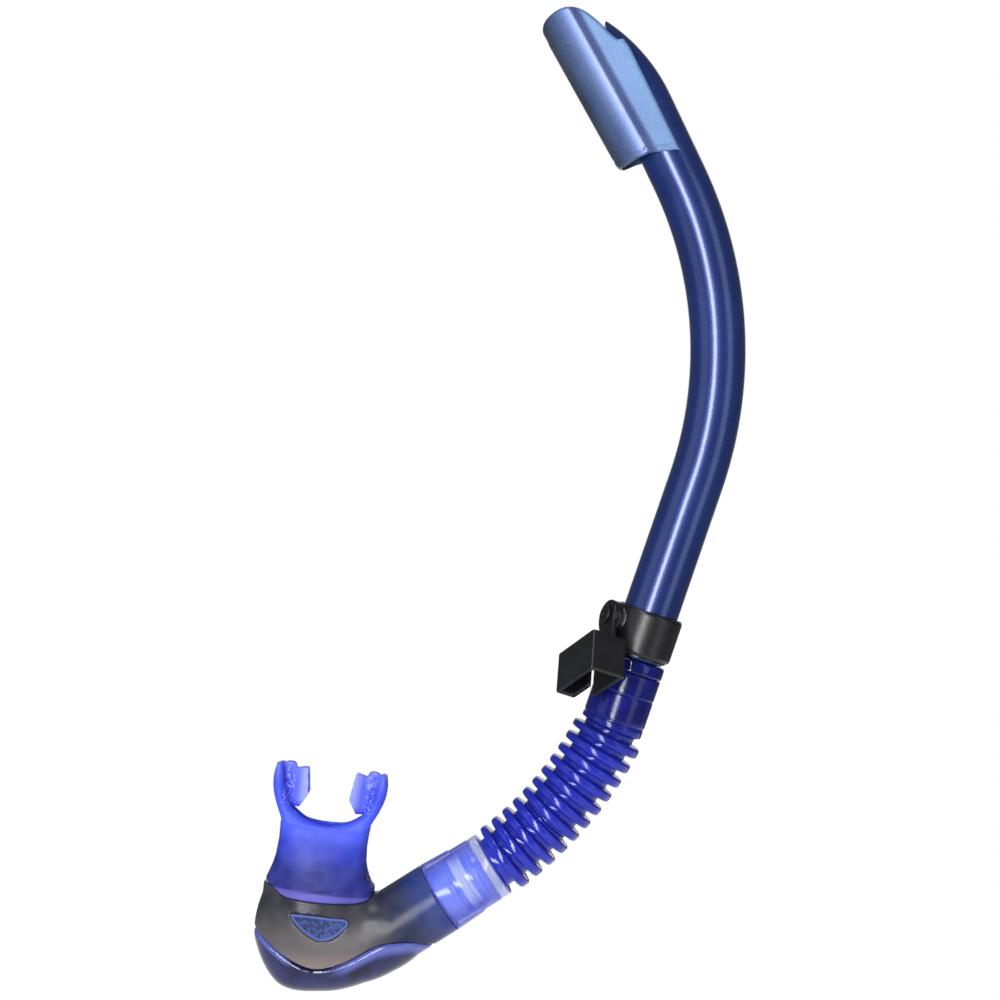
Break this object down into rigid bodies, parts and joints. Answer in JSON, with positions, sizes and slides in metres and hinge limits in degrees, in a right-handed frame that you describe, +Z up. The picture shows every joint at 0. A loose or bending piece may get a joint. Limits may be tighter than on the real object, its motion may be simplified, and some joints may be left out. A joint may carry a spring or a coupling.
{
  "type": "snorkel tube",
  "caption": "Curved snorkel with a splash hood, sliding mask strap keeper, corrugated flexible hose, purge chamber and bite mouthpiece.",
  "frame": {"origin": "middle of the strap clip's outer plate, on the inner face that the mask strap bears on", "axes": "+Z up as the snorkel is worn, +X from the mouthpiece towards the barrel, +Y across the snorkel"},
  "size_m": [0.2256, 0.0627, 0.4518],
  "materials": {
    "barrel_plastic": "satin metallic blue",
    "hood_plastic": "satin metallic light blue",
    "clear_blue_plastic": "clear tinted",
    "black_plastic": "satin black",
    "hose_silicone": "translucent gloss blue",
    "smoke_plastic": "translucent smoke",
    "valve_silicone": "translucent white",
    "cover_plastic": "gloss navy tint",
    "badge_plastic": "satin metallic blue",
    "mouthpiece_silicone": "satin translucent blue"
  },
  "bodies": {
    "barrel": {"main_tube": "barrel_plastic", "splash_hood": "hood_plastic", "splash_baffle": "hood_plastic", "hose_coupler": "clear_blue_plastic"},
    "keeper_sleeve": {"keeper_liner": "black_plastic"},
    "keeper": {"keeper_collar": "black_plastic", "pivot_pin": "black_plastic"},
    "clip": {"strap_clip": "black_plastic"},
    "hose_top": {"hose_upper_cuff": "hose_silicone"},
    "hose_middle": {"hose_upper_ribs": "hose_silicone", "hose_middle_ribs": "hose_silicone"},
    "hose_end": {"hose_lower_ribs": "hose_silicone", "hose_lower_cuff": "hose_silicone"},
    "chamber": {"chamber_spigot": "clear_blue_plastic", "chamber_body": "smoke_plastic", "purge_seat": "smoke_plastic", "purge_cover": "cover_plastic", "badge_front": "badge_plastic", "badge_back": "badge_plastic", "mouthpiece": "mouthpiece_silicone"},
    "purge_valve": {"purge_membrane": "valve_silicone"}
  },
  "joints": [
    {"name": "keeper_slide", "type": "slide", "parent": "barrel", "child": "keeper_sleeve", "axis": [0.3256, 0, 0.9455], "range_m": [0, 0.055]},
    {"name": "keeper_turn", "type": "hinge", "parent": "keeper_sleeve", "child": "keeper", "pos_m": [0.03044, 0.0268, 0.0097], "axis": [0.3256, 0, 0.9455], "continuous": true},
    {"name": "clip_swivel", "type": "hinge", "parent": "keeper", "child": "clip", "pos_m": [0.01557, 0.01983, 0.01947], "axis": [-0.8767, -0.3746, 0.3019], "continuous": true},
    {"name": "hose_turn", "type": "hinge", "parent": "barrel", "child": "hose_top", "pos_m": [0.03044, 0.0268, 0.0097], "axis": [0.3256, 0, 0.9455], "continuous": true},
    {"name": "hose_bend_upper", "type": "hinge", "parent": "hose_top", "child": "hose_middle", "pos_m": [0.00796, 0.0268, -0.04604], "axis": [0, 1, 0], "range_deg": [-15, 18], "stiffness_Nm_per_rad": 1.2, "deforming": ["hose_upper_ribs"]},
    {"name": "hose_bend_lower", "type": "hinge", "parent": "hose_middle", "child": "hose_end", "pos_m": [-0.02472, 0.0268, -0.08418], "axis": [0, 1, 0], "range_deg": [-15, 18], "stiffness_Nm_per_rad": 1.2, "deforming": ["hose_lower_ribs"]},
    {"name": "chamber_turn", "type": "hinge", "parent": "hose_end", "child": "chamber", "pos_m": [-0.06255, 0.0268, -0.10987], "axis": [0.848, 0, 0.5299], "continuous": true},
    {"name": "purge_valve_lift", "type": "slide", "parent": "chamber", "child": "purge_valve", "axis": [0, 0, -1], "range_m": [0, 0.0015], "stiffness_N_per_m": 30}
  ],
  "couplings": [
    {"joint": "hose_bend_lower", "follows": "hose_bend_upper", "ratio": 1}
  ]
}
